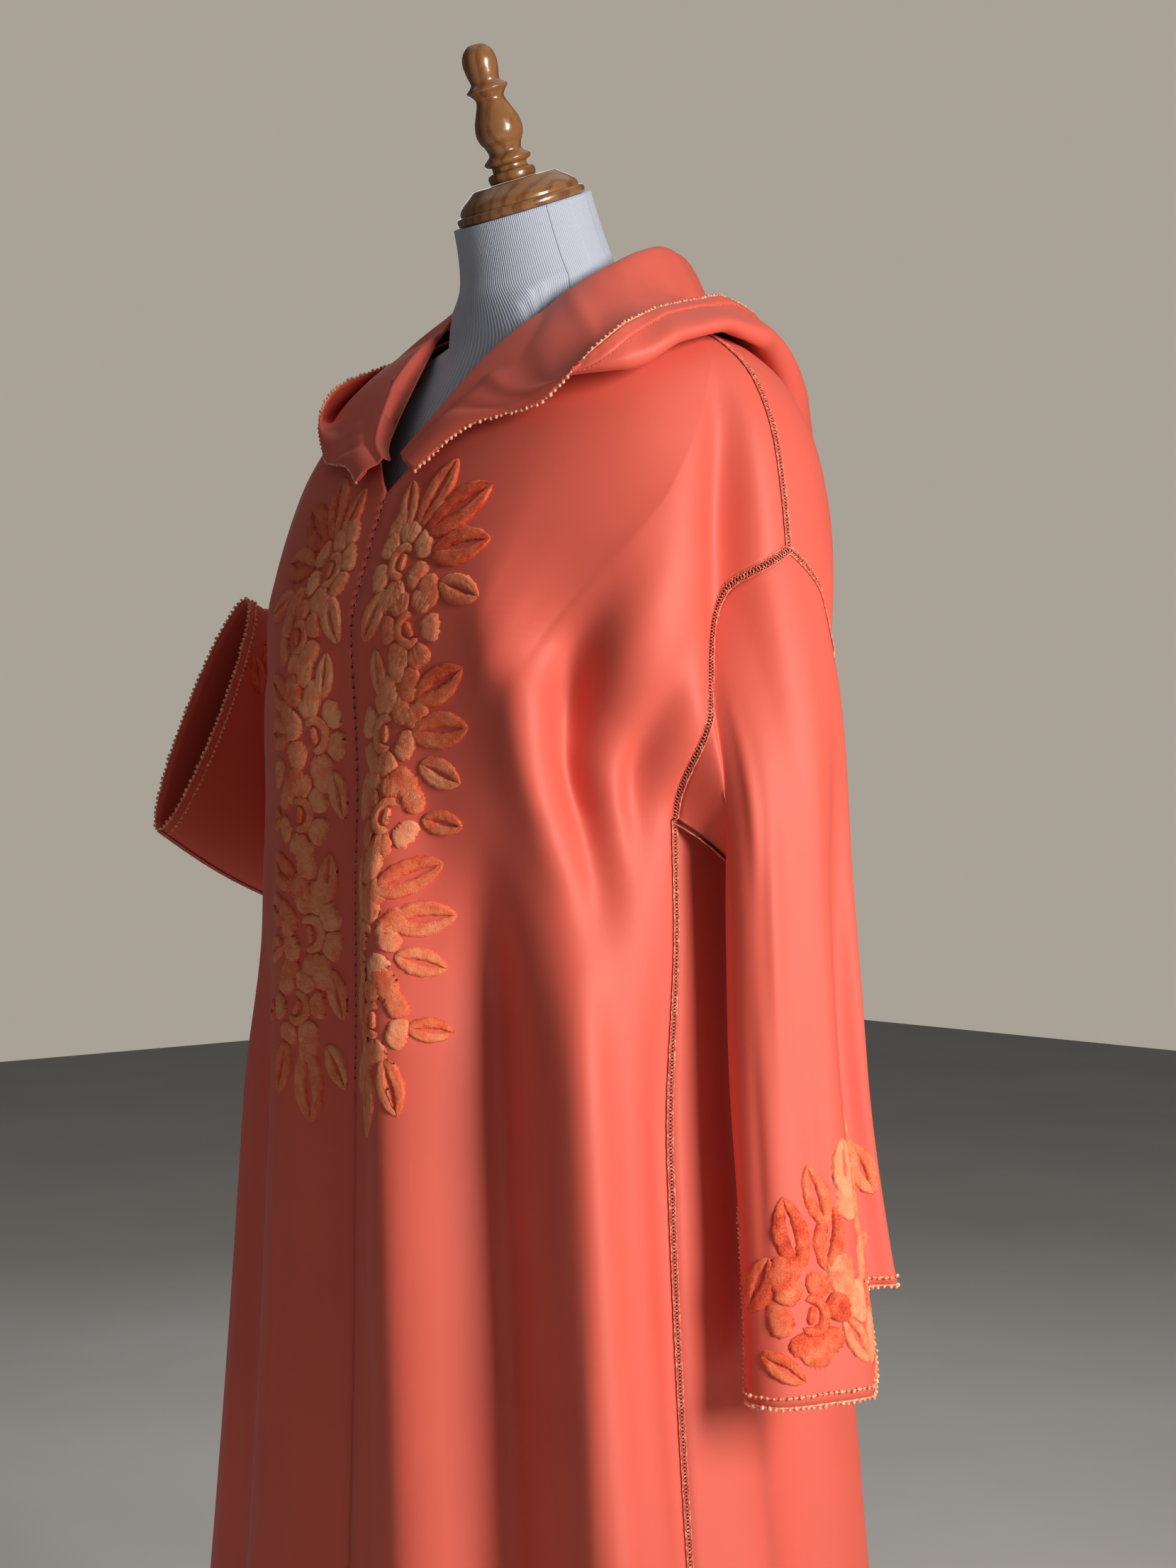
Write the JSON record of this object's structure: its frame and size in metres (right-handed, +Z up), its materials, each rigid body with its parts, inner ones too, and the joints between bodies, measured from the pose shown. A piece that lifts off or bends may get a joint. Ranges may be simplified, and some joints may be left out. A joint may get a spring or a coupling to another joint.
{
  "type": "djellaba robe on a limbless dress form and stand",
  "caption": "Long hooded robe with wide sleeves, raised flowers and openwork seams, worn by a limbless dress form with a turned cap, on a post and a round base.",
  "frame": {"origin": "centre of the round base's underside, on the floor", "axes": "+Z up, -Y is the robe's front, +X is the wearer's left"},
  "size_m": [0.7005, 0.4667, 1.6202],
  "materials": {
    "coral_satin": "satin crepe with velvet flowers",
    "pale_jersey": "ribbed jersey",
    "honey_wood": "varnished",
    "grey_steel": "satin paint"
  },
  "bodies": {
    "root": {"front_left": "coral_satin", "front_right": "coral_satin", "back": "coral_satin", "sleeve_left": "coral_satin", "sleeve_right": "coral_satin", "hood": "coral_satin", "dress_form": "pale_jersey", "neck_cap": "honey_wood", "finial": "honey_wood", "post": "grey_steel", "base": "honey_wood"}
  },
  "joints": []
}
